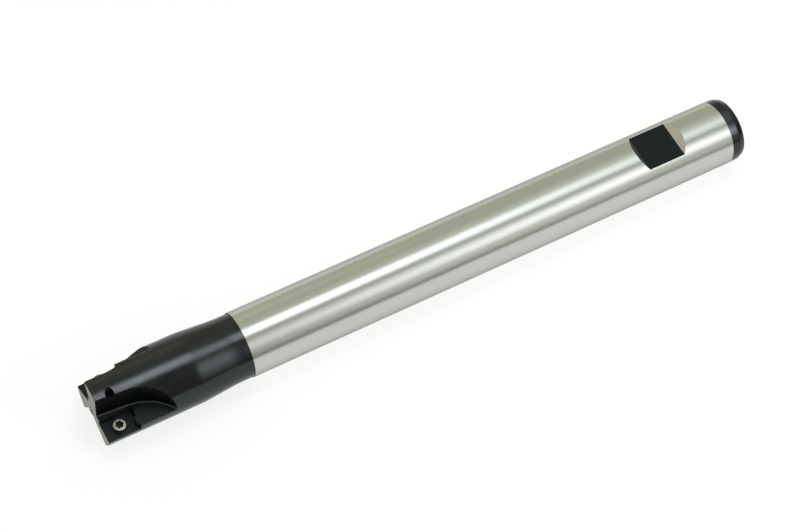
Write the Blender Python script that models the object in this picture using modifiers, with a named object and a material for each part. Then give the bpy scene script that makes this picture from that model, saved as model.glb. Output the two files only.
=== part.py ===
"""Long-reach indexable square-shoulder end mill, with its three insert seats bare.

The tool lies along X, with its cutting end towards -X and its Weldon flat facing up.
Its lowest line is at Z = 0, and X = 0 is half way along it. Lengths are in metres.

Each tooth has a frame of its own on the tool axis, at the front face: X runs back along
the tool, -Y runs out to the tooth, and Z is square to the tooth's seat.
"""

import math
from collections.abc import Callable, Sequence

import bmesh
import bpy
from mathutils import Vector

Outline = Sequence[tuple[float, float]]

# Turned body
OVERALL_LENGTH = 0.2032
HEAD_LENGTH = 0.04365
HEAD_DIAMETER = 0.0204
HEAD_CONE_LENGTH = 0.0108
NECK_LENGTH = 0.0045
NECK_RELIEF = 0.00019
SHANK_DIAMETER = 0.01905
REAR_BAND_LENGTH = 0.0043
REAR_BAND_RELIEF = 0.00005
REAR_CHAMFER_LENGTH = 0.0017
REAR_CHAMFER_DEPTH = 0.0006

# Lathe centres in the two ends
CENTRE_ANGLE = math.radians(60)
FRONT_CENTRE_DIAMETER = 0.0024
FRONT_PILOT_DIAMETER = 0.0010
FRONT_PILOT_LENGTH = 0.0012
REAR_CENTRE_DIAMETER = 0.0050
REAR_PILOT_DIAMETER = 0.0020
REAR_PILOT_LENGTH = 0.0025

# Weldon flat, sunk into the shank, its middle set forward of the rear end
FLAT_LENGTH = 0.0117
FLAT_DEPTH = 0.0020
FLAT_SETBACK = 0.0260
FLAT_WALL_ANGLE = math.radians(45)

# Flutes: a floor and a wall for each tooth, measured from the tool axis
TOOTH_COUNT = 3
FLUTE_FLOOR_HEIGHT = 0.0010
FLUTE_WALL_OFFSET = 0.0024
FLUTE_WALL_TAPER = math.radians(4)
FLUTE_STRAIGHT_LENGTH = 0.0086
FLUTE_RUNOUT_RADIUS = 0.0145
FLUTE_CORNER_RADIUS = 0.0004

# Insert seats, sunk into the flute floors, each with a stop pad on its back wall.
# The width and the two insets are measured in from the outside of the head.
SEAT_DROP = 0.0019
SEAT_LENGTH = 0.0094
SEAT_WIDTH = 0.0062
PAD_HEIGHT = 0.0007
PAD_WIDTH = 0.0015
PAD_FLANK = 0.0006
PAD_INSET = 0.0021

# Insert screws, square to the seats
SCREW_SETBACK = 0.0044
SCREW_INSET = 0.0028
SCREW_LENGTH = 0.0062
SCREW_LIFT = 0.0005
SCREW_HEAD_DIAMETER = 0.0035
SCREW_HEAD_RIM = 0.00040
SCREW_HEAD_ROUND = 0.00012
SCREW_HEAD_ANGLE = math.radians(60)
SCREW_TIP_CHAMFER = 0.0003
THREAD_DIAMETER = 0.0025
THREAD_CLEARANCE = 0.0002
RECESS_DIAMETER = 0.0023
RECESS_ROOT_DIAMETER = 0.0017
RECESS_DEPTH = 0.0010
RECESS_LOBES = 6

# How far the cutters reach past the surfaces that they cut
OVERCUT = 0.0010
# How finely the round shapes are divided
BODY_SEGMENTS = 96
SCREW_SEGMENTS = 48
HOLE_SEGMENTS = 32
RUNOUT_SEGMENTS = 24
CORNER_SEGMENTS = 3
POINTS_PER_LOBE = 12
MERGE_DISTANCE = 0.000001
SMOOTH_ANGLE = math.radians(25)

HEAD_RADIUS = HEAD_DIAMETER / 2
SHANK_RADIUS = SHANK_DIAMETER / 2
AXIS_HEIGHT = max(HEAD_RADIUS, SHANK_RADIUS)
REAR_BAND_FRONT = OVERALL_LENGTH - REAR_BAND_LENGTH
SEAT_HEIGHT = FLUTE_FLOOR_HEIGHT - SEAT_DROP
SEAT_WALL_OFFSET = HEAD_RADIUS - SEAT_WIDTH
PAD_OFFSET = HEAD_RADIUS - PAD_INSET
SCREW_OFFSET = HEAD_RADIUS - SCREW_INSET


def clear_scene() -> None:
    """Remove every object of the scene."""
    for obj in list(bpy.data.objects):
        bpy.data.objects.remove(obj, do_unlink=True)


def new_collection(name: str) -> bpy.types.Collection:
    """Make a collection in the scene."""
    collection = bpy.data.collections.new(name)
    bpy.context.scene.collection.children.link(collection)
    return collection


def new_material(name: str, colour: Sequence[float], metallic: float, roughness: float) -> bpy.types.Material:
    """Make a Principled material."""
    material = bpy.data.materials.new(name)
    material.use_nodes = True
    shader = material.node_tree.nodes["Principled BSDF"]
    shader.inputs["Base Color"].default_value = (*colour, 1.0)
    shader.inputs["Metallic"].default_value = metallic
    shader.inputs["Roughness"].default_value = roughness
    return material


def new_frame(name: str, collection: bpy.types.Collection, parent: bpy.types.Object | None = None) -> bpy.types.Object:
    """Make an empty that places other objects."""
    frame = bpy.data.objects.new(name, None)
    collection.objects.link(frame)
    frame.parent = parent
    return frame


def turned(name: str, profile: Outline, segments: int, collection: bpy.types.Collection) -> bpy.types.Object:
    """Turn a profile of (radius, height) points about local Z. It runs down its outer side."""
    mesh = bpy.data.meshes.new(name)
    mesh.from_pydata(
        [(radius, 0.0, height) for radius, height in profile],
        [(index, index + 1) for index in range(len(profile) - 1)],
        [],
    )
    obj = bpy.data.objects.new(name, mesh)
    collection.objects.link(obj)
    turn = obj.modifiers.new("turn", "SCREW")
    turn.steps = segments
    turn.render_steps = segments
    turn.use_merge_vertices = True
    turn.merge_threshold = MERGE_DISTANCE
    return obj


def evaluated_mesh(obj: bpy.types.Object) -> bpy.types.Mesh:
    """The mesh of an object after its modifiers."""
    bpy.context.view_layer.update()
    depsgraph = bpy.context.evaluated_depsgraph_get()
    return bpy.data.meshes.new_from_object(obj.evaluated_get(depsgraph))


def as_cutter(obj: bpy.types.Object, parent: bpy.types.Object) -> bpy.types.Object:
    """Hang a cutter in a frame and keep it out of renders."""
    obj.parent = parent
    obj.hide_render = True
    obj.display_type = "WIRE"
    return obj


def prism(name: str, outline: Outline, bottom: float, top: float, collection: bpy.types.Collection) -> bpy.types.Object:
    """Extrude a flat outline in local XY from one height to another."""
    curve = bpy.data.curves.new(name, "CURVE")
    curve.dimensions = "2D"
    curve.fill_mode = "BOTH"
    curve.extrude = (top - bottom) / 2
    spline = curve.splines.new("POLY")
    spline.points.add(len(outline) - 1)
    for point, (x, y) in zip(spline.points, outline):
        point.co = (x, y, 0.0, 1.0)
    spline.use_cyclic_u = True
    drawing = bpy.data.objects.new(name, curve)
    collection.objects.link(drawing)
    mesh = evaluated_mesh(drawing)
    bpy.data.objects.remove(drawing)

    shape = bmesh.new()
    shape.from_mesh(mesh)
    bmesh.ops.remove_doubles(shape, verts=shape.verts, dist=MERGE_DISTANCE)
    bmesh.ops.recalc_face_normals(shape, faces=shape.faces)
    bmesh.ops.translate(shape, verts=shape.verts, vec=(0.0, 0.0, (top + bottom) / 2))
    shape.to_mesh(mesh)
    shape.free()
    obj = bpy.data.objects.new(name, mesh)
    collection.objects.link(obj)
    return obj


def round_edges(obj: bpy.types.Object, radius: float, wanted: Callable[[Vector], bool]) -> None:
    """Round the edges whose two ends are both wanted."""
    shape = bmesh.new()
    shape.from_mesh(obj.data)
    edges = [edge for edge in shape.edges if all(wanted(vertex.co) for vertex in edge.verts)]
    bmesh.ops.bevel(
        shape,
        geom=edges,
        offset=radius,
        offset_type="OFFSET",
        segments=CORNER_SEGMENTS,
        profile=0.5,
        affect="EDGES",
    )
    shape.to_mesh(obj.data)
    shape.free()


def cut(obj: bpy.types.Object, cutter: bpy.types.Object) -> None:
    """Subtract a cutter from an object."""
    difference = obj.modifiers.new(cutter.name, "BOOLEAN")
    difference.operation = "DIFFERENCE"
    difference.solver = "EXACT"
    difference.object = cutter


def shade(mesh: bpy.types.Mesh) -> None:
    """Shade the round faces smooth and keep the edges sharp."""
    mesh.shade_smooth()
    mesh.set_sharp_from_angle(angle=SMOOTH_ANGLE)


def centre_depth(mouth: float, pilot: float) -> float:
    """Depth of a lathe centre's cone between two diameters."""
    return (mouth - pilot) / 2 / math.tan(CENTRE_ANGLE / 2)


def body_profile() -> Outline:
    """Radius and distance behind the front face, from the rear centre to the front one."""
    neck_radius = SHANK_RADIUS - NECK_RELIEF
    neck_front = HEAD_LENGTH - NECK_LENGTH
    band_radius = SHANK_RADIUS - REAR_BAND_RELIEF
    rear_cone_end = OVERALL_LENGTH - centre_depth(REAR_CENTRE_DIAMETER, REAR_PILOT_DIAMETER)
    rear_pilot_end = rear_cone_end - REAR_PILOT_LENGTH
    front_cone_end = centre_depth(FRONT_CENTRE_DIAMETER, FRONT_PILOT_DIAMETER)
    front_pilot_end = front_cone_end + FRONT_PILOT_LENGTH
    return [
        (0.0, rear_pilot_end),
        (REAR_PILOT_DIAMETER / 2, rear_pilot_end),
        (REAR_PILOT_DIAMETER / 2, rear_cone_end),
        (REAR_CENTRE_DIAMETER / 2, OVERALL_LENGTH),
        (band_radius - REAR_CHAMFER_DEPTH, OVERALL_LENGTH),
        (band_radius, OVERALL_LENGTH - REAR_CHAMFER_LENGTH),
        (band_radius, REAR_BAND_FRONT),
        (SHANK_RADIUS, REAR_BAND_FRONT),
        (SHANK_RADIUS, HEAD_LENGTH),
        (neck_radius, HEAD_LENGTH),
        (neck_radius, neck_front),
        (HEAD_RADIUS, neck_front - HEAD_CONE_LENGTH),
        (HEAD_RADIUS, 0.0),
        (FRONT_CENTRE_DIAMETER / 2, 0.0),
        (FRONT_PILOT_DIAMETER / 2, front_cone_end),
        (FRONT_PILOT_DIAMETER / 2, front_pilot_end),
        (0.0, front_pilot_end),
    ]


def flute_cutter(tooth: bpy.types.Object, collection: bpy.types.Collection) -> bpy.types.Object:
    """Everything above a flute's floor and outside its wall, which runs straight and then curves out."""
    outside = HEAD_RADIUS + OVERCUT
    slope = math.tan(FLUTE_WALL_TAPER)
    wall_end = FLUTE_WALL_OFFSET + FLUTE_STRAIGHT_LENGTH * slope
    arc_x = FLUTE_STRAIGHT_LENGTH - FLUTE_RUNOUT_RADIUS * math.sin(FLUTE_WALL_TAPER)
    arc_offset = wall_end + FLUTE_RUNOUT_RADIUS * math.cos(FLUTE_WALL_TAPER)
    last_angle = math.acos((arc_offset - outside) / FLUTE_RUNOUT_RADIUS)
    wall = [(-OVERCUT, FLUTE_WALL_OFFSET - OVERCUT * slope)]
    for step in range(RUNOUT_SEGMENTS + 1):
        angle = FLUTE_WALL_TAPER + (last_angle - FLUTE_WALL_TAPER) * step / RUNOUT_SEGMENTS
        wall.append(
            (
                arc_x + FLUTE_RUNOUT_RADIUS * math.sin(angle),
                arc_offset - FLUTE_RUNOUT_RADIUS * math.cos(angle),
            )
        )
    outline = [(x, -offset) for x, offset in [*wall, (-OVERCUT, outside)]]
    flute = prism("flute_cutter", outline, FLUTE_FLOOR_HEIGHT, outside, collection)

    def on_wall_foot(point: Vector) -> bool:
        return point.z < FLUTE_FLOOR_HEIGHT + MERGE_DISTANCE and point.y > MERGE_DISTANCE - outside

    round_edges(flute, FLUTE_CORNER_RADIUS, on_wall_foot)
    return as_cutter(flute, tooth)


def seat_cutter(tooth: bpy.types.Object, collection: bpy.types.Collection) -> bpy.types.Object:
    """The bare seat of an insert, open at the front and outside, with a stop pad on its back wall."""
    outside = HEAD_RADIUS + OVERCUT
    pad_half = PAD_WIDTH / 2
    corners = [
        (-OVERCUT, SEAT_WALL_OFFSET),
        (SEAT_LENGTH, SEAT_WALL_OFFSET),
        (SEAT_LENGTH, PAD_OFFSET - pad_half - PAD_FLANK),
        (SEAT_LENGTH - PAD_HEIGHT, PAD_OFFSET - pad_half),
        (SEAT_LENGTH - PAD_HEIGHT, PAD_OFFSET + pad_half),
        (SEAT_LENGTH, PAD_OFFSET + pad_half + PAD_FLANK),
        (SEAT_LENGTH, outside),
        (-OVERCUT, outside),
    ]
    outline = [(x, -offset) for x, offset in corners]
    top = FLUTE_FLOOR_HEIGHT + FLUTE_CORNER_RADIUS
    return as_cutter(prism("seat_cutter", outline, SEAT_HEIGHT, top, collection), tooth)


def tapped_hole_cutter(tooth: bpy.types.Object, collection: bpy.types.Collection) -> bpy.types.Object:
    """The screw's hole, which runs from the seat right through the tooth."""
    top = SEAT_HEIGHT + OVERCUT
    bottom = -HEAD_RADIUS - OVERCUT
    bpy.ops.mesh.primitive_cylinder_add(vertices=HOLE_SEGMENTS, radius=THREAD_DIAMETER / 2, depth=top - bottom)
    hole = bpy.context.object
    hole.name = "tapped_hole_cutter"
    for owner in list(hole.users_collection):
        owner.objects.unlink(hole)
    collection.objects.link(hole)
    hole.location = (SCREW_SETBACK, -SCREW_OFFSET, (top + bottom) / 2)
    return as_cutter(hole, tooth)


def flat_cutter(axis: bpy.types.Object, collection: bpy.types.Collection) -> bpy.types.Object:
    """The Weldon flat: a flat floor between two sloping end walls, milled across the shank."""
    middle = OVERALL_LENGTH - FLAT_SETBACK
    floor = SHANK_RADIUS - FLAT_DEPTH
    top = SHANK_RADIUS + OVERCUT
    half_floor = FLAT_LENGTH / 2
    half_top = half_floor + (top - floor) * math.tan(FLAT_WALL_ANGLE)
    outline = [
        (middle - half_floor, floor),
        (middle + half_floor, floor),
        (middle + half_top, top),
        (middle - half_top, top),
    ]
    flat = prism("weldon_flat_cutter", outline, -SHANK_RADIUS, SHANK_RADIUS, collection)
    flat.rotation_euler.x = math.radians(90)
    return as_cutter(flat, axis)


def is_ground(point: Vector) -> bool:
    """Is a point of the body on the ground outside of its shank?"""
    radius = math.hypot(point.x, point.y)
    return HEAD_LENGTH < point.z < REAR_BAND_FRONT and radius > SHANK_RADIUS - NECK_RELIEF


def make_body(
    axis: bpy.types.Object,
    cutters: Sequence[bpy.types.Object],
    collection: bpy.types.Collection,
    ground_steel: bpy.types.Material,
    black_oxide: bpy.types.Material,
) -> bpy.types.Object:
    """The one-piece body: turned, milled, blackened all over, then ground bright along the shank."""
    body = turned("mill_body", body_profile(), BODY_SEGMENTS, collection)
    body.parent = axis
    body.rotation_euler.y = math.radians(90)
    for cutter in cutters:
        cut(body, cutter)
    mesh = evaluated_mesh(body)
    body.modifiers.clear()
    body.data = mesh
    mesh.materials.clear()
    mesh.materials.append(ground_steel)
    mesh.materials.append(black_oxide)
    for face in mesh.polygons:
        face.material_index = 0 if is_ground(face.center) else 1
    shade(mesh)
    return body


def screw_profile() -> Outline:
    """Radius and height above the seat of an insert screw, from the top of its head to its tip."""
    head_radius = SCREW_HEAD_DIAMETER / 2
    thread_radius = THREAD_DIAMETER / 2 - THREAD_CLEARANCE
    cone = (head_radius - thread_radius) / math.tan(SCREW_HEAD_ANGLE / 2)
    top = SCREW_LIFT + cone + SCREW_HEAD_RIM
    tip = top - SCREW_LENGTH
    return [
        (0.0, top),
        (head_radius - SCREW_HEAD_ROUND, top),
        (head_radius, top - SCREW_HEAD_ROUND),
        (head_radius, SCREW_LIFT + cone),
        (thread_radius, SCREW_LIFT),
        (thread_radius, tip + SCREW_TIP_CHAMFER),
        (thread_radius - SCREW_TIP_CHAMFER, tip),
        (0.0, tip),
    ]


def recess_outline() -> Outline:
    """A six-lobe driver recess: its radius swings between the lobes and their roots."""
    mean = (RECESS_DIAMETER + RECESS_ROOT_DIAMETER) / 4
    swing = (RECESS_DIAMETER - RECESS_ROOT_DIAMETER) / 4
    count = RECESS_LOBES * POINTS_PER_LOBE
    outline = []
    for step in range(count):
        angle = 2 * math.pi * step / count
        radius = mean + swing * math.cos(RECESS_LOBES * angle)
        outline.append((radius * math.cos(angle), radius * math.sin(angle)))
    return outline


def make_screw_mesh(
    axis: bpy.types.Object,
    collection: bpy.types.Collection,
    material: bpy.types.Material,
) -> bpy.types.Mesh:
    """One insert screw with its driver recess. Its origin is on its axis, at the level of the seat."""
    profile = screw_profile()
    top = profile[0][1]
    blank = turned("screw_blank", profile, SCREW_SEGMENTS, collection)
    recess = prism("recess_cutter", recess_outline(), top - RECESS_DEPTH, top + OVERCUT, collection)
    recess.parent = axis
    blank.parent = axis
    cut(blank, recess)
    mesh = evaluated_mesh(blank)
    bpy.data.objects.remove(blank)
    bpy.data.objects.remove(recess)
    mesh.name = "insert_screw"
    mesh.materials.clear()
    mesh.materials.append(material)
    shade(mesh)
    return mesh


def main() -> None:
    """Build the tool: its body and one screw for each tooth."""
    clear_scene()
    parts = new_collection("indexable_end_mill")
    cutting = new_collection("cutters")
    ground_steel = new_material("ground_steel", (0.58, 0.57, 0.53), 1.0, 0.24)
    black_oxide = new_material("black_oxide", (0.012, 0.013, 0.014), 0.3, 0.38)
    screw_steel = new_material("screw_steel", (0.66, 0.65, 0.60), 1.0, 0.22)

    axis = new_frame("tool_axis", parts)
    axis.location = (-OVERALL_LENGTH / 2, 0.0, AXIS_HEIGHT)
    screw_mesh = make_screw_mesh(axis, cutting, screw_steel)
    cutters = [flat_cutter(axis, cutting)]
    for index in range(TOOTH_COUNT):
        tooth = new_frame(f"tooth_{index + 1}", parts, axis)
        tooth.rotation_euler.x = -2 * math.pi * index / TOOTH_COUNT
        cutters.append(flute_cutter(tooth, cutting))
        cutters.append(seat_cutter(tooth, cutting))
        cutters.append(tapped_hole_cutter(tooth, cutting))
        screw = bpy.data.objects.new(f"insert_screw_{index + 1}", screw_mesh)
        parts.objects.link(screw)
        screw.parent = tooth
        screw.location = (SCREW_SETBACK, -SCREW_OFFSET, SEAT_HEIGHT)
    make_body(axis, cutters, parts, ground_steel, black_oxide)
    bpy.context.view_layer.update()


main()
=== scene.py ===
"""Studio picture of a long-reach indexable end mill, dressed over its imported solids.

The tool lies along X on a pale floor, with its cutting end towards -X and its Weldon flat up.
Lengths are in metres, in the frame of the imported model.
"""

import logging
import math
from collections.abc import Callable, Iterator, Sequence
from contextlib import contextmanager
from dataclasses import dataclass, field
from enum import Enum, IntEnum

import bmesh
import bpy
import numpy as np
from mathutils import Matrix, Vector


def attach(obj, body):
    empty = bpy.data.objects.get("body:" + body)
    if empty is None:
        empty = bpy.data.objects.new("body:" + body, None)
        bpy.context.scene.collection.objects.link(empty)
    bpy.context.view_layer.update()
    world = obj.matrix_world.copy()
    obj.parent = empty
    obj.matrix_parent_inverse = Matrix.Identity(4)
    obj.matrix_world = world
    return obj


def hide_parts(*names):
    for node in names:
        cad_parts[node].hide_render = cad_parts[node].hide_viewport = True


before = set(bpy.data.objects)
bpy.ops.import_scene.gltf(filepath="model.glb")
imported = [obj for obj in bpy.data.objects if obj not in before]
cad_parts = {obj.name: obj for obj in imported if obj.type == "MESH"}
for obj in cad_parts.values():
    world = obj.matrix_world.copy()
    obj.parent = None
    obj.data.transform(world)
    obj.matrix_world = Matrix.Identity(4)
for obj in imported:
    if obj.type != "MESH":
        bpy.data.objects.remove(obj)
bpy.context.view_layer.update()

log = logging.getLogger("end_mill")

Point = tuple[float, float]
Outline = Sequence[Point]
Triple = tuple[float, float, float]
Colour = Triple

MERGE_DISTANCE = 0.000002
SMOOTH_ANGLE = math.radians(40)
QUARTER_TURN = math.radians(90)

# A step shorter than this many edge breaks keeps its corners.
SHORT_STEP = 3.0

# A bevel with this profile is part of a circle.
ROUND_PROFILE = 0.5

# With this slot a bevel's new faces take the material of a face beside them.
SAME_MATERIAL = -1

# Noise mostly stays between these two values.
NOISE_LIMITS = (0.3, 0.7)

# A lamp's own coordinates run from 0 to 1, with its middle here.
LAMP_MIDDLE = 0.5


class Zone(IntEnum):
    """Material slots of the mill body, with the faces that each one covers."""

    GROUND = 0  # the shank
    TURNED = 1  # the head, the neck and the rear end
    MILLED = 2  # the flutes' walls, the screws' holes and the dark broken edges
    FACED = 3  # the flat's end walls and the cone of the front lathe centre
    FRONT = 4  # the front face
    # The corners take a lighter, more reflective finish than the rest of the oxide: a partly
    # painted highlight line along them.
    CORNER_HIGHLIGHT = 5  # the corners at the foot of the flutes' walls
    SEATING = 6  # the flutes' floors and the insert seats
    FLAT = 7  # the floor of the Weldon flat


class Lamp(Enum):
    """Places of the studio's lamps around the tool."""

    OVERHEAD = "overhead_softbox"
    HEAD = "head_softbox"
    NECK = "neck_softbox"
    TAIL = "tail_softbox"
    FRONT = "front_softbox"
    NECK_FRONT = "neck_front_softbox"
    LOW = "low_softbox"
    FAR = "far_softbox"


def link(obj: bpy.types.Object) -> bpy.types.Object:
    """Put an object into the scene."""
    bpy.context.scene.collection.objects.link(obj)
    return obj


def opaque(colour: Colour) -> tuple[float, float, float, float]:
    """A colour with full alpha."""
    return (*colour, 1.0)


def circle_angles(count: int) -> np.ndarray:
    """Angles of points spaced evenly round a circle."""
    return 2 * math.pi * np.arange(count) / count


@contextmanager
def editing(mesh: bpy.types.Mesh) -> Iterator[bmesh.types.BMesh]:
    """Open a mesh for editing, and write it back at the end.

    Args:
        mesh: The mesh to change.

    Yields:
        The mesh in its editable form.
    """
    shape = bmesh.new()
    shape.from_mesh(mesh)
    yield shape
    shape.to_mesh(mesh)
    shape.free()


def closed_mesh(
    name: str, points: Sequence[Triple], faces: Sequence[tuple[int, ...]]
) -> bpy.types.Mesh:
    """Make a closed mesh, with its doubled points merged and its faces turned outwards.

    Args:
        name: Name of the new mesh.
        points: The mesh's points.
        faces: The points of each face, in order round it.

    Returns:
        The mesh.
    """
    mesh = bpy.data.meshes.new(name)
    mesh.from_pydata(points, [], faces)
    with editing(mesh) as shape:
        bmesh.ops.remove_doubles(shape, verts=shape.verts, dist=MERGE_DISTANCE)
        bmesh.ops.recalc_face_normals(shape, faces=shape.faces)
    return mesh


def skin_rings(name: str, rings: Sequence[np.ndarray]) -> bpy.types.Mesh:
    """Skin a closed surface over rings of points, and close its two ends with fans.

    Args:
        name: Name of the new mesh.
        rings: Arrays of points, all of one length, in order along the piece.

    Returns:
        The mesh.
    """
    count = len(rings[0])
    points = [tuple(point) for ring in rings for point in ring]
    faces = []
    for row in range(len(rings) - 1):
        near, far = row * count, (row + 1) * count
        for step in range(count):
            after = (step + 1) % count
            faces.append((near + step, near + after, far + after, far + step))
    for ring, turned_over in ((0, True), (len(rings) - 1, False)):
        points.append(tuple(np.mean(rings[ring], axis=0)))
        start = ring * count
        for step in range(count):
            corner = (start + step, start + (step + 1) % count, len(points) - 1)
            faces.append(corner[::-1] if turned_over else corner)
    return closed_mesh(name, points, faces)


def prism(name: str, outline: Outline, low: float, high: float) -> bpy.types.Object:
    """Extrude a flat outline along Z.

    Args:
        name: Name of the new object.
        outline: Corners in XY, in order.
        low: Height of the bottom.
        high: Height of the top.

    Returns:
        The object, in the scene.
    """
    count = len(outline)
    points = [(x, y, z) for z in (low, high) for x, y in outline]
    faces = [tuple(range(count)), tuple(range(count, 2 * count))]
    for step in range(count):
        after = (step + 1) % count
        faces.append((step, after, count + after, count + step))
    return link(bpy.data.objects.new(name, closed_mesh(name, points, faces)))


def broken_corners(corners: Outline, reach: float) -> list[Point]:
    """Cut the corners of an open outline, apart from those beside a short step.

    Args:
        corners: The outline's corners, in order.
        reach: How far each cut reaches from its corner.

    Returns:
        The outline with two points in place of each corner that is cut.
    """
    points = [corners[0]]
    for before, here, after in zip(corners, corners[1:], corners[2:]):
        gaps = [math.dist(here, other) for other in (before, after)]
        if min(gaps) < SHORT_STEP * reach:
            points.append(here)
            continue
        for other, gap in zip((before, after), gaps):
            points.append(tuple(h + (o - h) * reach / gap for h, o in zip(here, other)))
    points.append(corners[-1])
    return points


def soft_bend(
    before: Point, corner: Point, after: Point, reach: float, steps: int
) -> list[Point]:
    """A smooth bend in place of a corner.

    Args:
        before: The point before the corner.
        corner: The corner.
        after: The point after it.
        reach: How far the bend reaches from the corner.
        steps: Straight pieces in the bend.

    Returns:
        The bend's points.
    """
    here = np.array(corner)
    start, end = (
        here + (np.array(other) - here) * reach / math.dist(corner, other)
        for other in (before, after)
    )
    shares = np.linspace(0.0, 1.0, steps + 1)[:, None]
    bend = (1 - shares) ** 2 * start + 2 * shares * (1 - shares) * here + shares**2 * end
    return [tuple(point) for point in bend.tolist()]


def round_edges(
    shape: bmesh.types.BMesh,
    edges: list[bmesh.types.BMEdge],
    reach: float,
    segments: int,
    material: int = SAME_MATERIAL,
    clamped: bool = True,
) -> None:
    """Round some edges of a shape.

    Args:
        shape: The shape to change.
        edges: The edges to round.
        reach: How far the rounding reaches from each edge.
        segments: Faces across each rounding.
        material: Material slot of the new faces.
        clamped: Does a rounding stop where it would run into another?
    """
    bmesh.ops.bevel(
        shape,
        geom=edges,
        offset=reach,
        offset_type="OFFSET",
        segments=segments,
        profile=ROUND_PROFILE,
        affect="EDGES",
        clamp_overlap=clamped,
        material=material,
    )


def shade(mesh: bpy.types.Mesh) -> None:
    """Shade a mesh smooth, apart from its sharp edges."""
    mesh.shade_smooth()
    mesh.set_sharp_from_angle(angle=SMOOTH_ANGLE)


def keep_faces_flat(obj: bpy.types.Object) -> None:
    """Let an object's large faces set the shading of the roundings beside them.

    Args:
        obj: The object to shade.
    """
    weighting = obj.modifiers.new("keep_faces_flat", "WEIGHTED_NORMAL")
    weighting.mode = "FACE_AREA"
    weighting.keep_sharp = True


def carve(blank: bpy.types.Object, cutters: Sequence[bpy.types.Object]) -> bpy.types.Mesh:
    """Subtract cutters from a blank, and remove them and the blank.

    Args:
        blank: The object to cut.
        cutters: The objects that cut it.

    Returns:
        The mesh that is left.
    """
    for cutter in cutters:
        difference = blank.modifiers.new(cutter.name, "BOOLEAN")
        difference.operation = "DIFFERENCE"
        difference.solver = "EXACT"
        difference.object = cutter
    bpy.context.view_layer.update()
    carved = blank.evaluated_get(bpy.context.evaluated_depsgraph_get())
    mesh = bpy.data.meshes.new_from_object(carved)
    for obj in (blank, *cutters):
        bpy.data.objects.remove(obj)
    return mesh


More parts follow.
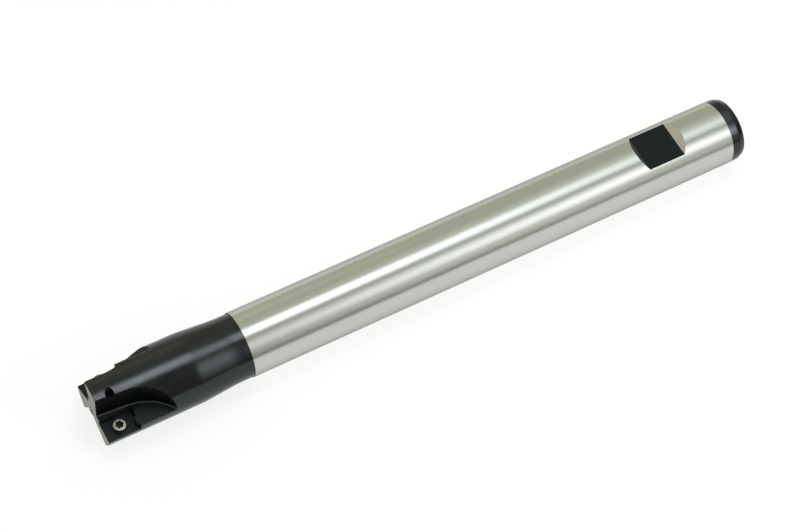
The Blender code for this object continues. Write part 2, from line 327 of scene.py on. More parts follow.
class NodeSketch:
    """Shorthand for building the nodes of a material, a lamp or the surroundings."""

    def __init__(
        self, owner: bpy.types.Material | bpy.types.Light | bpy.types.World, shader: str
    ) -> None:
        """Turn on an owner's nodes, and find its shader.

        Args:
            owner: What the nodes belong to.
            shader: Name of the shader's node.
        """
        owner.use_nodes = True
        self.owner = owner
        self.tree = owner.node_tree
        self.shader = self.tree.nodes[shader]

    def add(self, kind: str, **settings: object) -> bpy.types.Node:
        """Add a node and set its properties.

        Args:
            kind: The node's type.
            settings: The properties to set.

        Returns:
            The node.
        """
        node = self.tree.nodes.new(kind)
        for key, value in settings.items():
            setattr(node, key, value)
        return node

    def join(self, source: bpy.types.NodeSocket, target: bpy.types.NodeSocket) -> None:
        """Link one socket to another."""
        self.tree.links.new(source, target)

    def feed(self, source: bpy.types.NodeSocket, name: str) -> None:
        """Link a socket to one of the shader's."""
        self.join(source, self.shader.inputs[name])

    def set(self, **values: object) -> None:
        """Set sockets of the shader, with spaces in their names as underscores."""
        for key, value in values.items():
            self.shader.inputs[key.replace("_", " ")].default_value = value

    def calculate(
        self, operation: str, *terms: bpy.types.NodeSocket | float
    ) -> bpy.types.NodeSocket:
        """Work out a value from sockets and numbers.

        Args:
            operation: Name of the operation, as the Math node has it.
            terms: The sockets or numbers, in order.

        Returns:
            The result.
        """
        step = self.add("ShaderNodeMath", operation=operation)
        for slot, term in zip(step.inputs, terms):
            if isinstance(term, bpy.types.NodeSocket):
                self.join(term, slot)
            else:
                slot.default_value = term
        return step.outputs["Value"]

    def parts(self, vector: bpy.types.NodeSocket) -> bpy.types.NodeOutputs:
        """The X, Y and Z of a vector.

        Args:
            vector: The vector to split.

        Returns:
            Its three parts, by name.
        """
        split = self.add("ShaderNodeSeparateXYZ")
        self.join(vector, split.inputs["Vector"])
        return split.outputs

    def stretched_noise(self, stretch: Triple, detail: float) -> bpy.types.NodeSocket:
        """Noise over the object's own coordinates, stretched along its axes.

        Args:
            stretch: Waves for each metre along X, Y and Z.
            detail: Octaves of the noise.

        Returns:
            The noise's factor, around one half.
        """
        coordinates = self.add("ShaderNodeTexCoord")
        scaling = self.add("ShaderNodeMapping")
        scaling.inputs["Scale"].default_value = stretch
        noise = self.add("ShaderNodeTexNoise")
        noise.inputs["Scale"].default_value = 1.0
        noise.inputs["Detail"].default_value = detail
        self.join(coordinates.outputs["Object"], scaling.inputs["Vector"])
        self.join(scaling.outputs["Vector"], noise.inputs["Vector"])
        return noise.outputs["Fac"]

    def spread(
        self,
        factor: bpy.types.NodeSocket,
        low: float,
        high: float,
        limits: tuple[float, float] = NOISE_LIMITS,
        ease: str = "LINEAR",
    ) -> bpy.types.NodeSocket:
        """Map a factor to a range of values.

        Args:
            factor: The value to map.
            low: Result at the lower limit.
            high: Result at the upper limit.
            limits: The factor's limits.
            ease: How the result runs between them, as the Map Range node has it.

        Returns:
            The mapped value.
        """
        ramp = self.add("ShaderNodeMapRange", interpolation_type=ease)
        names = ("From Min", "From Max", "To Min", "To Max")
        for key, value in zip(names, (*limits, low, high)):
            ramp.inputs[key].default_value = value
        self.join(factor, ramp.inputs["Value"])
        return ramp.outputs["Result"]

    def blend(
        self, factor: bpy.types.NodeSocket, first: Colour, second: Colour
    ) -> bpy.types.NodeSocket:
        """Mix two colours.

        Args:
            factor: Share of the second colour.
            first: The first colour.
            second: The second colour.

        Returns:
            The mixed colour.
        """
        mix = self.add("ShaderNodeMix", data_type="RGBA")
        mix.inputs["A"].default_value = opaque(first)
        mix.inputs["B"].default_value = opaque(second)
        self.join(factor, mix.inputs["Factor"])
        return mix.outputs["Result"]

    def vary(
        self,
        noise: bpy.types.NodeSocket,
        colours: tuple[Colour, Colour],
        roughness: tuple[float, float],
        colour_limits: tuple[float, float] = NOISE_LIMITS,
    ) -> None:
        """Vary the shader's colour and roughness by a noise.

        Args:
            noise: The noise's factor.
            colours: The colours where the noise is low and high.
            roughness: The roughness where the noise is low and high.
            colour_limits: The noise's limits for the two colours.
        """
        share = self.spread(noise, 0.0, 1.0, colour_limits)
        self.feed(self.blend(share, *colours), "Base Color")
        self.feed(self.spread(noise, *roughness), "Roughness")

    def bump(self, height: bpy.types.NodeSocket, strength: float, distance: float) -> None:
        """Give the shader a fine relief.

        Args:
            height: The relief's height, from 0 to 1.
            strength: How much of the relief shows.
            distance: The relief's depth.
        """
        relief = self.add("ShaderNodeBump")
        relief.inputs["Strength"].default_value = strength
        relief.inputs["Distance"].default_value = distance
        self.join(height, relief.inputs["Height"])
        self.feed(relief.outputs["Normal"], "Normal")


def new_material(name: str) -> NodeSketch:
    """Start a material with a Principled shader."""
    return NodeSketch(bpy.data.materials.new(name), "Principled BSDF")


@dataclass(frozen=True)
class GroundSteel:
    """Bare steel, cylindrically ground: fine scratches run round the shank."""

    name: str = "ground_steel"
    colour: Colour = (0.56, 0.565, 0.53)
    dull_colour: Colour = (0.55, 0.555, 0.52)
    edge_tint: Colour = (0.54, 0.54, 0.52)
    roughness: float = 0.285
    roughness_swing: float = 0.004
    anisotropy: float = 0.86
    across_the_scratches: float = 0.25
    scratch_waves: Triple = (2600.0, 40.0, 40.0)
    scratch_detail: float = 3.0
    relief_strength: float = 0.005
    relief_depth: float = 0.00002

    def material(self) -> bpy.types.Material:
        """Make the material.

        Returns:
            The new material.
        """
        sketch = new_material(self.name)
        scratches = sketch.stretched_noise(self.scratch_waves, self.scratch_detail)
        rough = (self.roughness + self.roughness_swing, self.roughness - self.roughness_swing)
        sketch.vary(scratches, (self.dull_colour, self.colour), rough)
        sketch.set(
            Metallic=1.0,
            Specular_Tint=opaque(self.edge_tint),
            Anisotropic=self.anisotropy,
            Anisotropic_Rotation=self.across_the_scratches,
        )
        around = sketch.add("ShaderNodeTangent", direction_type="RADIAL", axis="X")
        sketch.feed(around.outputs["Tangent"], "Tangent")
        sketch.bump(scratches, self.relief_strength, self.relief_depth)
        return sketch.owner


@dataclass(frozen=True)
class BlackOxide:
    """Blackened steel: near black, with a weak, soft sheen."""

    name: str
    refraction: float
    roughness: float
    metallic: float = 0.0
    edge_tint: Colour = (0.85, 0.85, 0.85)
    colour: Colour = (0.0030, 0.0034, 0.0038)
    rubbed_colour: Colour = (0.0075, 0.0075, 0.0072)
    rubbed_limits: tuple[float, float] = (0.45, 0.8)
    roughness_swing: float = 0.04
    cloud_waves: Triple = (240.0, 240.0, 240.0)
    cloud_detail: float = 4.0
    turning_waves: Triple = (3600.0, 60.0, 60.0)
    turning_detail: float = 2.0
    relief_strength: float = 0.04
    relief_depth: float = 0.00002

    def material(self) -> bpy.types.Material:
        """Make the material.

        Returns:
            The new material.
        """
        sketch = new_material(self.name)
        clouds = sketch.stretched_noise(self.cloud_waves, self.cloud_detail)
        rough = (self.roughness - self.roughness_swing, self.roughness + self.roughness_swing)
        sketch.vary(clouds, (self.colour, self.rubbed_colour), rough, self.rubbed_limits)
        sketch.set(
            Metallic=self.metallic,
            IOR=self.refraction,
            Specular_Tint=opaque(self.edge_tint),
        )
        turning = sketch.stretched_noise(self.turning_waves, self.turning_detail)
        sketch.bump(turning, self.relief_strength, self.relief_depth)
        return sketch.owner


@dataclass(frozen=True)
class CloudedSteel:
    """Bare or plated steel, a little uneven."""

    name: str
    colour: Colour
    dull_colour: Colour
    edge_tint: Colour = (0.75, 0.75, 0.73)
    roughness: float = 0.26
    roughness_swing: float = 0.05
    cloud_waves: Triple = (1500.0, 1500.0, 1500.0)
    cloud_detail: float = 4.0

    def material(self) -> bpy.types.Material:
        """Make the material.

        Returns:
            The new material.
        """
        sketch = new_material(self.name)
        clouds = sketch.stretched_noise(self.cloud_waves, self.cloud_detail)
        rough = (self.roughness + self.roughness_swing, self.roughness - self.roughness_swing)
        sketch.vary(clouds, (self.dull_colour, self.colour), rough)
        sketch.set(Metallic=1.0, Specular_Tint=opaque(self.edge_tint))
        return sketch.owner


Finish = GroundSteel | BlackOxide | CloudedSteel

TURNED_OXIDE = BlackOxide(
    "turned_oxide",
    refraction=1.5,
    roughness=0.20,
    metallic=1.0,
    colour=(0.043, 0.047, 0.049),
    rubbed_colour=(0.050, 0.053, 0.054),
)
MILLED_OXIDE = BlackOxide(
    "milled_oxide",
    refraction=1.21,
    roughness=0.40,
    edge_tint=(0.70, 0.92, 1.0),
)
SEATING_OXIDE = BlackOxide(
    "seating_oxide",
    refraction=1.34,
    roughness=0.40,
    edge_tint=(0.80, 0.95, 1.0),
    colour=(0.0105, 0.0135, 0.0140),
    rubbed_colour=(0.0190, 0.0225, 0.0225),
)
FLAT_OXIDE = BlackOxide(
    "flat_oxide",
    refraction=1.27,
    roughness=0.40,
    edge_tint=(0.75, 0.94, 1.0),
    colour=(0.0058, 0.0070, 0.0074),
    rubbed_colour=(0.0118, 0.0130, 0.0128),
)
# Oxide on the flute corners, made lighter and more reflective than the rest: a partly painted
# highlight line along each corner.
CORNER_HIGHLIGHT_OXIDE = BlackOxide(
    "corner_highlight_oxide",
    refraction=1.5,
    roughness=0.30,
    metallic=1.0,
    colour=(0.105, 0.112, 0.112),
    rubbed_colour=(0.125, 0.130, 0.130),
)
# Near black for the screws' threads and recesses: painted shade down in the recess and in the
# tapped hole.
SCREW_PAINTED_SHADE = BlackOxide("screw_painted_shade", refraction=1.38, roughness=0.35)
FACED_STEEL = CloudedSteel(
    "faced_steel",
    colour=(0.65, 0.605, 0.60),
    dull_colour=(0.635, 0.59, 0.585),
    roughness_swing=0.015,
)
FRONT_STEEL = CloudedSteel(
    "front_steel",
    colour=(0.46, 0.465, 0.415),
    dull_colour=(0.42, 0.425, 0.375),
    edge_tint=(0.50, 0.50, 0.48),
    roughness=0.36,
    roughness_swing=0.015,
)
PLATED_STEEL = CloudedSteel(
    "plated_steel",
    colour=(0.48, 0.47, 0.415),
    dull_colour=(0.37, 0.36, 0.32),
)


@dataclass(frozen=True)
class ToothFrame:
    """The frame of one tooth on the tool axis, at the front face.

    X runs back along the tool, -Y runs out to the tooth, and Z is square to the tooth's seat.
    """

    index: int
    front: float
    axis_height: float
    count: int

    def matrix(self) -> Matrix:
        """The frame as a matrix."""
        turn = Matrix.Rotation(-2 * math.pi * self.index / self.count, 4, "X")
        return Matrix.Translation((self.front, 0.0, self.axis_height)) @ turn


@dataclass
class MillBody:
    """The one-piece body: head with flutes and seats, neck, shank, Weldon flat, rear band."""

    overall_length: float = 0.2032
    head_length: float = 0.04365
    head_radius: float = 0.0102
    head_cone_length: float = 0.0108
    neck_length: float = 0.0045
    neck_relief: float = 0.00019
    shank_radius: float = 0.009525
    rear_band_length: float = 0.0043
    rear_band_relief: float = 0.00005
    rear_chamfer_length: float = 0.0017
    rear_chamfer_depth: float = 0.0006
    turned_edge_break: float = 0.00015
    cone_blend: float = 0.0010
    neck_blend: float = 0.0022
    blend_segments: int = 10

    centre_half_angle: float = math.radians(30)
    front_centre_radius: float = 0.0012
    front_pilot_radius: float = 0.0005
    front_pilot_length: float = 0.0012
    rear_centre_radius: float = 0.0025
    rear_pilot_radius: float = 0.0010
    rear_pilot_length: float = 0.0025

    flat_length: float = 0.0117
    flat_depth: float = 0.0020
    flat_setback: float = 0.0260
    flat_wall_angle: float = math.radians(45)

    tooth_count: int = 3
    flute_floor_height: float = 0.0010
    flute_wall_offset: float = 0.0024
    flute_wall_taper: float = math.radians(4)
    flute_straight_length: float = 0.0086
    flute_runout_radius: float = 0.0145
    flute_corner_radius: float = 0.0004

    seat_drop: float = 0.0019
    seat_length: float = 0.0094
    seat_width: float = 0.0062
    pad_height: float = 0.0007
    pad_width: float = 0.0015
    pad_flank: float = 0.0006
    pad_inset: float = 0.0021

    screw_setback: float = 0.0044
    screw_inset: float = 0.0028
    thread_radius: float = 0.00125

    overcut: float = 0.0010
    segments: int = 192
    runout_segments: int = 48
    hole_segments: int = 48
    corner_segments: int = 6
    milled_edge_break: float = 0.00003
    bright_edge_break: float = 0.00008
    edge_break_segments: int = 3
    shortest_edge: float = 0.00005
    sharp_angle: float = math.radians(30)
    upright_limit: float = 0.1
    level_limit: float = 0.99

    finishes: dict[Zone, Finish] = field(
        default_factory=lambda: {
            Zone.GROUND: GroundSteel(),
            Zone.TURNED: TURNED_OXIDE,
            Zone.MILLED: MILLED_OXIDE,
            Zone.FACED: FACED_STEEL,
            Zone.FRONT: FRONT_STEEL,
            Zone.CORNER_HIGHLIGHT: CORNER_HIGHLIGHT_OXIDE,
            Zone.SEATING: SEATING_OXIDE,
            Zone.FLAT: FLAT_OXIDE,
        }
    )
    materials: dict[Zone, bpy.types.Material] = field(default_factory=dict, init=False)

    def __post_init__(self) -> None:
        """Make the material of each zone."""
        self.materials = {zone: finish.material() for zone, finish in self.finishes.items()}

    @property
    def front(self) -> float:
        """X of the front face."""
        return -self.overall_length / 2

    @property
    def outside(self) -> float:
        """How far cutters reach from the tool axis, to come clear of the head."""
        return self.head_radius + self.overcut

    @property
    def seat_height(self) -> float:
        """Height of the seats above the tool axis, in their tooth frames."""
        return self.flute_floor_height - self.seat_drop

    @property
    def screw_offset(self) -> float:
        """How far the screws' axes are from the tool axis."""
        return self.head_radius - self.screw_inset

    def tooth(self, index: int) -> ToothFrame:
        """The frame of a tooth."""
        return ToothFrame(index, self.front, self.head_radius, self.tooth_count)

    def profile(self) -> list[Point]:
        """Distance behind the front face and radius, from the front centre to the rear one.

        Returns:
            The turned outline, with its corners broken.
        """
        slope = math.tan(self.centre_half_angle)
        front_cone = (self.front_centre_radius - self.front_pilot_radius) / slope
        rear_cone = (self.rear_centre_radius - self.rear_pilot_radius) / slope
        end = self.overall_length
        neck = self.shank_radius - self.neck_relief
        neck_front = self.head_length - self.neck_length
        head_front = (0.0, self.head_radius)
        cone_front = (neck_front - self.head_cone_length, self.head_radius)
        cone_back = (neck_front, neck)
        neck_back = (self.head_length, neck)
        steps = self.blend_segments
        band = self.shank_radius - self.rear_band_relief
        band_front = end - self.rear_band_length
        corners = [
            (front_cone + self.front_pilot_length, self.front_pilot_radius),
            (front_cone, self.front_pilot_radius),
            (0.0, self.front_centre_radius),
            head_front,
            *soft_bend(head_front, cone_front, cone_back, self.cone_blend, steps),
            *soft_bend(cone_front, cone_back, neck_back, self.neck_blend, steps),
            neck_back,
            (self.head_length, self.shank_radius),
            (band_front, self.shank_radius),
            (band_front + self.rear_band_relief, band),
            (end - self.rear_chamfer_length, band),
            (end, band - self.rear_chamfer_depth),
            (end, self.rear_centre_radius),
            (end - rear_cone, self.rear_pilot_radius),
            (end - rear_cone - self.rear_pilot_length, self.rear_pilot_radius),
        ]
        return broken_corners(corners, self.turned_edge_break)

    def zoned(
        self, mesh: bpy.types.Mesh, zone_of: Callable[[bpy.types.MeshPolygon], Zone]
    ) -> None:
        """Give a mesh the body's materials, and each face its zone.

        Args:
            mesh: The mesh to dress.
            zone_of: Finds the zone of a face.
        """
        for zone in Zone:
            mesh.materials.append(self.materials[zone])
        for face in mesh.polygons:
            face.material_index = zone_of(face)

    def blank_zone(self, face: bpy.types.MeshPolygon) -> Zone:
        """The zone of a face of the turned blank.

        Args:
            face: The face.

        Returns:
            Its zone.
        """
        distance = face.center.x - self.front
        radius = math.hypot(face.center.y, face.center.z - self.head_radius)
        on_centre_cone = self.front_pilot_radius < radius < self.front_centre_radius
        if distance < MERGE_DISTANCE:
            return Zone.FRONT
        if distance < self.head_length and on_centre_cone:
            return Zone.FACED
        if self.head_length < distance < self.overall_length - self.rear_band_length:
            return Zone.GROUND
        return Zone.TURNED

    def blank(self) -> bpy.types.Object:
        """The turned blank, before any milling.

        Returns:
            The blank, in the scene.
        """
        angles = circle_angles(self.segments)
        rings = []
        for distance, radius in self.profile():
            ring = np.empty((self.segments, 3))
            ring[:, 0] = self.front + distance
            ring[:, 1] = radius * np.sin(angles)
            ring[:, 2] = self.head_radius + radius * np.cos(angles)
            rings.append(ring)
        mesh = skin_rings("mill_blank", rings)
        self.zoned(mesh, self.blank_zone)
        return link(bpy.data.objects.new("mill_blank", mesh))

    def flute_outline(self) -> list[Point]:
        """A flute from above: a tapered wall, which curves out to the outside of the head.

        Returns:
            The outline, in the tooth's frame.
        """
        slope = math.tan(self.flute_wall_taper)
        radius = self.flute_runout_radius
        wall_end = self.flute_wall_offset + self.flute_straight_length * slope
        arc_x = self.flute_straight_length - radius * math.sin(self.flute_wall_taper)
        arc_offset = wall_end + radius * math.cos(self.flute_wall_taper)
        last = math.acos((arc_offset - self.outside) / radius)
        wall = [(-self.overcut, self.flute_wall_offset - self.overcut * slope)]
        for angle in np.linspace(self.flute_wall_taper, last, self.runout_segments + 1):
            wall.append((arc_x + radius * math.sin(angle), arc_offset - radius * math.cos(angle)))
        return [(x, -offset) for x, offset in [*wall, (-self.overcut, self.outside)]]

    def flute_zone(self, face: bpy.types.MeshPolygon) -> Zone:
        """The zone of a flute's wall, its floor or the rounded corner between them.

        Args:
            face: A face of the flute's cutter, in the tooth's frame.

        Returns:
            Its zone.
        """
        if abs(face.normal.z) < self.upright_limit:
            return Zone.MILLED
        return Zone.SEATING if abs(face.normal.z) > self.level_limit else Zone.CORNER_HIGHLIGHT

    def flute_cutter(self, tooth: ToothFrame) -> bpy.types.Object:
        """Everything above a flute's floor and outside its wall.

        Args:
            tooth: Frame of the flute's tooth.

        Returns:
            The cutter, in place.
        """
        floor = self.flute_floor_height
        name = f"flute_cutter_{tooth.index + 1}"
        cutter = prism(name, self.flute_outline(), floor, self.outside)

        def on_wall_foot(vertex: bmesh.types.BMVert) -> bool:
            """Is a corner at the foot of the wall?"""
            inside = vertex.co.y > MERGE_DISTANCE - self.outside
            return inside and vertex.co.z < floor + MERGE_DISTANCE

        with editing(cutter.data) as shape:
            foot = [edge for edge in shape.edges if all(map(on_wall_foot, edge.verts))]
            round_edges(
                shape, foot, self.flute_corner_radius, self.corner_segments, clamped=False
            )

        self.zoned(cutter.data, self.flute_zone)
        cutter.matrix_world = tooth.matrix()
        return cutter

    def seat_cutter(self, tooth: ToothFrame) -> bpy.types.Object:
        """A bare insert seat, open at the front and outside, with a stop pad on its back wall.

        Args:
            tooth: Frame of the seat's tooth.

        Returns:
            The cutter, in place.
        """
        wall = self.head_radius - self.seat_width
        pad = self.head_radius - self.pad_inset
        half = self.pad_width / 2
        back = self.seat_length
        corners = [
            (-self.overcut, wall),
            (back, wall),
            (back, pad - half - self.pad_flank),
            (back - self.pad_height, pad - half),
            (back - self.pad_height, pad + half),
            (back, pad + half + self.pad_flank),
            (back, self.outside),
            (-self.overcut, self.outside),
        ]
        top = self.flute_floor_height + self.flute_corner_radius
        outline = [(x, -offset) for x, offset in corners]
        cutter = prism(f"seat_cutter_{tooth.index + 1}", outline, self.seat_height, top)
        self.zoned(cutter.data, lambda face: Zone.SEATING)
        cutter.matrix_world = tooth.matrix()
        return cutter

    def hole_cutter(self, tooth: ToothFrame) -> bpy.types.Object:
        """A screw's hole, which runs from the seat right through the tooth.

        Args:
            tooth: Frame of the hole's tooth.

        Returns:
            The cutter, in place.
        """
        outline = [
            (
                self.screw_setback + self.thread_radius * math.cos(angle),
                self.thread_radius * math.sin(angle) - self.screw_offset,
            )
            for angle in circle_angles(self.hole_segments)
        ]
        top = self.seat_height + self.overcut
        cutter = prism(f"hole_cutter_{tooth.index + 1}", outline, -self.outside, top)
        self.zoned(cutter.data, lambda face: Zone.MILLED)
        cutter.matrix_world = tooth.matrix()
        return cutter

    def flat_cutter(self) -> bpy.types.Object:
        """The Weldon flat: a floor between two sloping end walls, milled across the shank.

        Returns:
            The cutter, in place.
        """
        middle = self.overall_length - self.flat_setback
        floor = self.shank_radius - self.flat_depth
        top = self.shank_radius + self.overcut
        half_floor = self.flat_length / 2
        half_top = half_floor + (top - floor) * math.tan(self.flat_wall_angle)
        outline = [
            (middle - half_floor, floor),
            (middle + half_floor, floor),
            (middle + half_top, top),
            (middle - half_top, top),
        ]
        cutter = prism("flat_cutter", outline, -self.shank_radius, self.shank_radius)

        def wall_or_floor(face: bpy.types.MeshPolygon) -> Zone:
            """The zone of the floor or an end wall."""
            return Zone.FLAT if face.center.y < floor + MERGE_DISTANCE else Zone.FACED

        self.zoned(cutter.data, wall_or_floor)
        upright = Matrix.Rotation(QUARTER_TURN, 4, "X")
        cutter.matrix_world = Matrix.Translation((self.front, 0.0, self.head_radius)) @ upright
        return cutter

    def mesh(self) -> bpy.types.Mesh:
        """Mill the blank and break its sharp edges.

        Returns:
            The body's mesh.
        """
        cutters = [self.flat_cutter()]
        for index in range(self.tooth_count):
            tooth = self.tooth(index)
            cutters += [
                self.flute_cutter(tooth),
                self.seat_cutter(tooth),
                self.hole_cutter(tooth),
            ]
        mesh = carve(self.blank(), cutters)
        self.break_milled_edges(mesh)
        shade(mesh)
        return mesh

    def break_milled_edges(self, mesh: bpy.types.Mesh) -> None:
        """Take the sharpness off the milled edges, as a deburring wheel does.

        Args:
            mesh: The milled body.
        """
        turned, bare = {Zone.TURNED, Zone.GROUND}, {Zone.FACED, Zone.FRONT}
        steps = self.edge_break_segments
        with editing(mesh) as shape:
            bmesh.ops.remove_doubles(shape, verts=shape.verts, dist=self.shortest_edge)
            bmesh.ops.dissolve_degenerate(shape, edges=shape.edges, dist=MERGE_DISTANCE)
            dark, bright = [], []
            for edge in shape.edges:
                zones = {face.material_index for face in edge.link_faces}
                if edge.calc_face_angle(0.0) < self.sharp_angle or zones <= turned:
                    continue
                (bright if zones & bare else dark).append(edge)
            round_edges(shape, dark, self.milled_edge_break, steps, Zone.MILLED)
            bright = [edge for edge in bright if edge.is_valid]
            round_edges(shape, bright, self.bright_edge_break, steps)

    def build(self) -> bpy.types.Object:
        """Build the body, dress it and hang it on its solid.

        Returns:
            The body.
        """
        body = link(bpy.data.objects.new("mill_body_ground_and_blackened", self.mesh()))
        keep_faces_flat(body)
        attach(body, "mill_body")
        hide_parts("mill_body")
        return body


@dataclass
class InsertScrew:
    """A small countersunk insert screw with a six-lobe recess and a rolled thread."""

    length: float = 0.0062
    lift: float = 0.0005
    head_radius: float = 0.00175
    head_rim: float = 0.0004
    head_round: float = 0.00012
    cone_half_angle: float = math.radians(30)
    core_radius: float = 0.00105
    crest_radius: float = 0.00121
    root_radius: float = 0.00095
    pitch: float = 0.00045
    flank_slope: float = 2.7
    thread_runout: float = 0.0003
    tip_chamfer: float = 0.0003
    recess_radius: float = 0.00115
    recess_root_radius: float = 0.00085
    recess_depth: float = 0.0010
    recess_mouth: float = 0.00006
    recess_floor_share: float = 0.9
    recess_point: float = 0.00025
    recess_point_radius: float = 0.0002125
    lobes: int = 6
    segments: int = 96
    rim_segments: int = 3
    rows_per_pitch: int = 10

    head_finish: CloudedSteel = PLATED_STEEL
    # The thread and the recess take a near-black finish, which is painted shade.
    painted_shade_finish: BlackOxide = SCREW_PAINTED_SHADE

    @property
    def top(self) -> float:
        """Height of the head's top above the seat."""
        cone = (self.head_radius - self.core_radius) / math.tan(self.cone_half_angle)
        return self.lift + cone + self.head_rim

    def ring(self, radius: float | np.ndarray, height: float) -> np.ndarray:
        """A ring of points about the screw's axis.

        Args:
            radius: One radius, or one for each point.
            height: Height above the seat.

        Returns:
            The points, in the screw's own frame.
        """
        angles = circle_angles(self.segments)
        points = np.empty((self.segments, 3))
        points[:, 0] = radius * np.cos(angles)
        points[:, 1] = radius * np.sin(angles)
        points[:, 2] = height
        return points

    def star(self, growth: float) -> np.ndarray:
        """Radii of the six-lobe recess.

        Args:
            growth: How far the recess is grown.

        Returns:
            One radius for each point of a ring.
        """
        mean = (self.recess_radius + self.recess_root_radius) / 2
        swing = (self.recess_radius - self.recess_root_radius) / 2
        return mean + growth + swing * np.cos(self.lobes * circle_angles(self.segments))

    def thread_ring(self, height: float, start: float, tip: float) -> np.ndarray:
        """Radii of the thread at one height.

        Args:
            height: Height above the seat.
            start: Height of the thread's upper end.
            tip: Height of the screw's tip.

        Returns:
            One radius for each point of a ring.
        """
        turn = np.arange(self.segments) / self.segments
        phase = (height / self.pitch - turn) % 1.0
        from_root = np.minimum(phase, 1.0 - phase)
        ridge = np.clip(self.flank_slope * from_root, 0.0, 1.0)
        fade = min(1.0, max(0.0, (start - height) / self.thread_runout))
        radius = self.root_radius + (self.crest_radius - self.root_radius) * ridge * fade
        core = self.core_radius + (self.root_radius - self.core_radius) * fade
        chamfer = self.core_radius - self.tip_chamfer + (height - tip)
        return np.minimum(np.maximum(radius, core), chamfer)

    def rings(self) -> list[np.ndarray]:
        """All rings of the screw, from the bottom of its recess round its head to its tip.

        Returns:
            The rings, in order.
        """
        top = self.top
        tip = top - self.length
        floor = top - self.recess_depth
        rings = [
            self.ring(self.recess_point_radius, floor - self.recess_point),
            self.ring(self.star(-self.recess_mouth) * self.recess_floor_share, floor),
            self.ring(self.star(0.0), floor + self.recess_mouth),
            self.ring(self.star(0.0), top - self.recess_mouth),
            self.ring(self.star(self.recess_mouth), top),
            self.ring(self.head_radius - 2 * self.head_round, top),
        ]
        for angle in np.linspace(0.0, QUARTER_TURN, self.rim_segments + 1):
            radius = self.head_radius - self.head_round * (1 - math.sin(angle))
            rings.append(self.ring(radius, top - self.head_round * (1 - math.cos(angle))))
        rings.append(self.ring(self.head_radius, top - self.head_rim))
        rings.append(self.ring(self.core_radius, self.lift))
        start = self.lift - self.thread_runout
        rows = math.ceil((start - tip) / self.pitch * self.rows_per_pitch)
        for height in np.linspace(start, tip, rows + 1):
            rings.append(self.ring(self.thread_ring(height, start, tip), height))
        return rings

    def in_painted_shade(self, point: Vector) -> bool:
        """Does a point of the screw take the painted shade, on its thread or down in its recess?

        Args:
            point: The point, in the screw's own frame.

        Returns:
            True where the near-black painted shade goes.
        """
        below_mouth = point.z < self.top - self.recess_mouth
        in_recess = below_mouth and math.hypot(point.x, point.y) < self.recess_radius
        return point.z < self.lift or in_recess

    def build(self, body: MillBody, index: int) -> bpy.types.Object:
        """Build a screw, dress it and hang it on its solid.

        Args:
            body: The mill body that holds the screw.
            index: Which tooth the screw is in.

        Returns:
            The screw, in its tapped hole.
        """
        node = f"insert_screw_{index + 1}"
        mesh = skin_rings(node, self.rings())
        mesh.materials.append(self.head_finish.material())
        mesh.materials.append(self.painted_shade_finish.material())
        for face in mesh.polygons:
            face.material_index = int(self.in_painted_shade(face.center))
        place = Matrix.Translation((body.screw_setback, -body.screw_offset, body.seat_height))
        mesh.transform(body.tooth(index).matrix() @ place)
        shade(mesh)
        screw = link(bpy.data.objects.new(f"{node}_plated", mesh))
        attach(screw, node)
        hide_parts(node)
        return screw


@dataclass(frozen=True)
class Softbox:
    """A rectangular lamp beside the tool axis, with a glow that fades to its edges.

    The turn is in degrees, up about the tool axis from the near side, and the front share is the
    glow of the lamp's front end beside that of its rear end.
    """

    place: Lamp
    turn: float
    middle: float
    length: float
    width: float
    radiance: float
    colour: Colour
    end_fade: float = 0.3
    side_fade: float = 1.0
    front_share: float = 1.0
    reach: float = 0.65

    def build(self, axis_height: float) -> bpy.types.Object:
        """Make the lamp, turned to the tool axis.

        Args:
            axis_height: Height of the tool axis.

        Returns:
            The lamp, out of the camera's sight.
        """
        light = bpy.data.lights.new(self.place.value, "AREA")
        light.shape = "RECTANGLE"
        light.size = self.length
        light.size_y = self.width
        light.color = self.colour
        # Each square metre of a flat lamp sends out pi times its radiance.
        light.energy = self.radiance * math.pi * self.length * self.width
        self.fade(light)
        lamp = link(bpy.data.objects.new(self.place.value, light))
        turn = math.radians(self.turn)
        along = Vector((1.0, 0.0, 0.0))
        back = Vector((0.0, -math.cos(turn), math.sin(turn)))
        centre = Vector((self.middle, 0.0, axis_height)) + self.reach * back
        facing = Matrix((along, back.cross(along), back)).transposed().to_4x4()
        lamp.matrix_world = Matrix.Translation(centre) @ facing
        lamp.visible_camera = False
        return lamp

    def fade(self, light: bpy.types.AreaLight) -> None:
        """Fade the glow to the lamp's ends and sides, and grade it from end to end.

        Args:
            light: The lamp's light.
        """
        sketch = NodeSketch(light, "Emission")
        place = sketch.parts(sketch.add("ShaderNodeNewGeometry").outputs["Parametric"])
        glow = sketch.spread(place["X"], self.front_share, 1.0, (0.0, 1.0))
        for axis, share in (("X", self.end_fade), ("Y", self.side_fade)):
            offset = sketch.calculate("SUBTRACT", place[axis], LAMP_MIDDLE)
            distance = sketch.calculate("ABSOLUTE", offset)
            limits = (LAMP_MIDDLE * (1 - share), LAMP_MIDDLE)
            edge = sketch.spread(distance, 1.0, 0.0, limits, "SMOOTHSTEP")
            glow = sketch.calculate("MULTIPLY", glow, edge)
        sketch.feed(glow, "Strength")


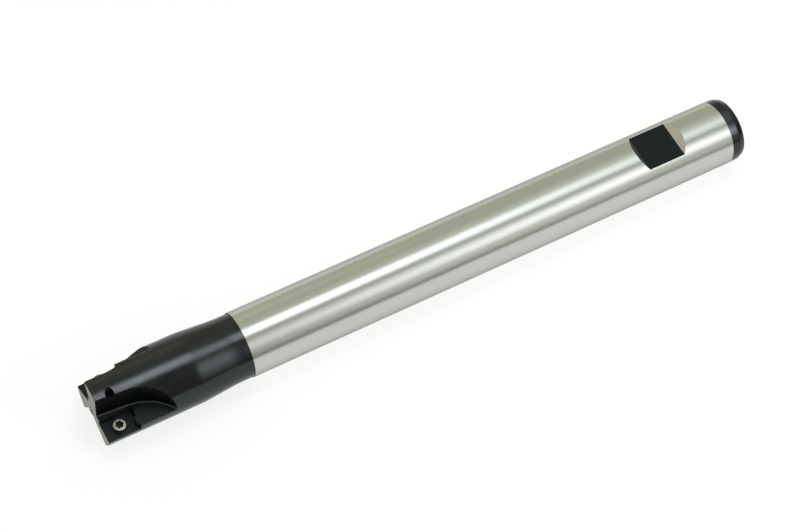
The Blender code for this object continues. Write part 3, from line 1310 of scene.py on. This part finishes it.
SOFTBOXES = (
    Softbox(
        Lamp.OVERHEAD,
        turn=97.0,
        middle=0.345,
        length=0.37,
        width=1.15,
        radiance=1.36,
        colour=(0.81, 0.93, 1.0),
        end_fade=0.4,
        front_share=0.20,
    ),
    Softbox(
        Lamp.HEAD,
        turn=94.0,
        middle=0.045,
        length=0.16,
        width=0.42,
        radiance=4.9,
        colour=(0.90, 0.95, 1.0),
        end_fade=0.35,
        side_fade=0.8,
        reach=0.64,
    ),
    Softbox(
        Lamp.NECK,
        turn=92.5,
        middle=0.174,
        length=0.05,
        width=0.40,
        radiance=6.5,
        colour=(0.87, 0.94, 1.0),
        end_fade=0.4,
        side_fade=0.8,
        reach=0.63,
    ),
    Softbox(
        Lamp.TAIL,
        turn=49.5,
        middle=0.415,
        length=0.05,
        width=0.62,
        radiance=15.0,
        colour=(0.93, 0.97, 1.0),
        end_fade=0.5,
        reach=0.63,
    ),
    Softbox(
        Lamp.FRONT,
        turn=45.0,
        middle=0.275,
        length=0.35,
        width=0.90,
        radiance=1.02,
        colour=(0.98, 0.985, 1.0),
        front_share=1.80,
    ),
    Softbox(
        Lamp.NECK_FRONT,
        turn=48.0,
        middle=0.178,
        length=0.05,
        width=0.70,
        radiance=1.8,
        colour=(1.0, 0.96, 0.94),
        end_fade=0.4,
        reach=0.63,
    ),
    Softbox(
        Lamp.LOW,
        turn=17.0,
        middle=0.33,
        length=0.46,
        width=0.29,
        radiance=0.52,
        colour=(1.0, 0.98, 0.90),
        side_fade=0.7,
    ),
    Softbox(
        Lamp.FAR,
        turn=150.0,
        middle=0.03,
        length=0.16,
        width=0.50,
        radiance=0.40,
        colour=(1.0, 0.80, 0.65),
    ),
)


@dataclass
class Studio:
    """The floor, the lamps, the surroundings and the camera.

    The camera's turn is in degrees, and its lens and sensor are in millimetres.
    """

    axis_height: float = MillBody.head_radius
    floor_size: float = 8.0
    floor_colour: Colour = (0.30, 0.30, 0.30)
    floor_roughness: float = 0.9
    floor_glow: float = 0.80
    floor_glow_colour: Colour = (1.0, 1.0, 1.0)
    near_colour: Colour = (0.270, 0.270, 0.255)
    far_colour: Colour = (0.596, 0.607, 0.499)
    near_to_far: tuple[float, float] = (-0.6, 0.5)
    camera_place: Triple = (-0.19230, -0.25092, 0.54102)
    camera_turn: Triple = (30.3218, -4.1644, -29.1006)
    camera_lens: float = 100.0
    camera_sensor: float = 36.0
    softboxes: tuple[Softbox, ...] = SOFTBOXES

    def floor(self) -> bpy.types.Object:
        """A plain pale floor, white to the camera and in reflections, that keeps a shadow.

        Returns:
            The floor.
        """
        half = self.floor_size / 2
        corners = [(-half, -half, 0.0), (half, -half, 0.0), (half, half, 0.0), (-half, half, 0.0)]
        mesh = bpy.data.meshes.new("floor")
        mesh.from_pydata(corners, [], [(0, 1, 2, 3)])
        sketch = new_material("pale_floor")
        sketch.set(
            Base_Color=opaque(self.floor_colour),
            Roughness=self.floor_roughness,
            Specular_IOR_Level=0.0,
            Emission_Color=opaque(self.floor_glow_colour),
        )
        path = sketch.add("ShaderNodeLightPath")
        seen = path.outputs["Is Camera Ray"]
        for kind in ("Is Glossy Ray", "Is Transmission Ray"):
            seen = sketch.calculate("MAXIMUM", seen, path.outputs[kind])
        sketch.feed(sketch.calculate("MULTIPLY", seen, self.floor_glow), "Emission Strength")
        mesh.materials.append(sketch.owner)
        floor = link(bpy.data.objects.new("floor", mesh))
        return floor

    def surroundings(self) -> None:
        """A pale room around the tool, darker on the near side."""
        world = bpy.data.worlds.new("pale_room")
        sketch = NodeSketch(world, "Background")
        direction = sketch.parts(sketch.add("ShaderNodeTexCoord").outputs["Generated"])
        far = sketch.spread(direction["Y"], 0.0, 1.0, self.near_to_far, "SMOOTHSTEP")
        sketch.feed(sketch.blend(far, self.near_colour, self.far_colour), "Color")
        bpy.context.scene.world = world

    def camera(self) -> bpy.types.Object:
        """The camera, where the photograph was taken from.

        Returns:
            The camera.
        """
        data = bpy.data.cameras.new("camera")
        data.lens = self.camera_lens
        data.sensor_width = self.camera_sensor
        data.sensor_fit = "HORIZONTAL"
        camera = link(bpy.data.objects.new("camera", data))
        camera.location = self.camera_place
        camera.rotation_euler = [math.radians(angle) for angle in self.camera_turn]
        bpy.context.scene.camera = camera
        return camera

    def build(self) -> None:
        """Set up the whole studio."""
        self.camera()
        self.floor()
        self.surroundings()
        for softbox in self.softboxes:
            softbox.build(self.axis_height)
        bpy.context.scene.view_settings.view_transform = "Standard"


def main() -> None:
    """Build the studio and the tool, and report each piece."""
    logging.basicConfig(level=logging.INFO, format="%(name)s: %(message)s")
    Studio().build()
    body = MillBody()
    pieces = [body.build()]
    for index in range(body.tooth_count):
        pieces.append(InsertScrew().build(body, index))
    for piece in pieces:
        log.info("%s: %d faces", piece.name, len(piece.data.polygons))


if __name__ == "__main__":
    main()
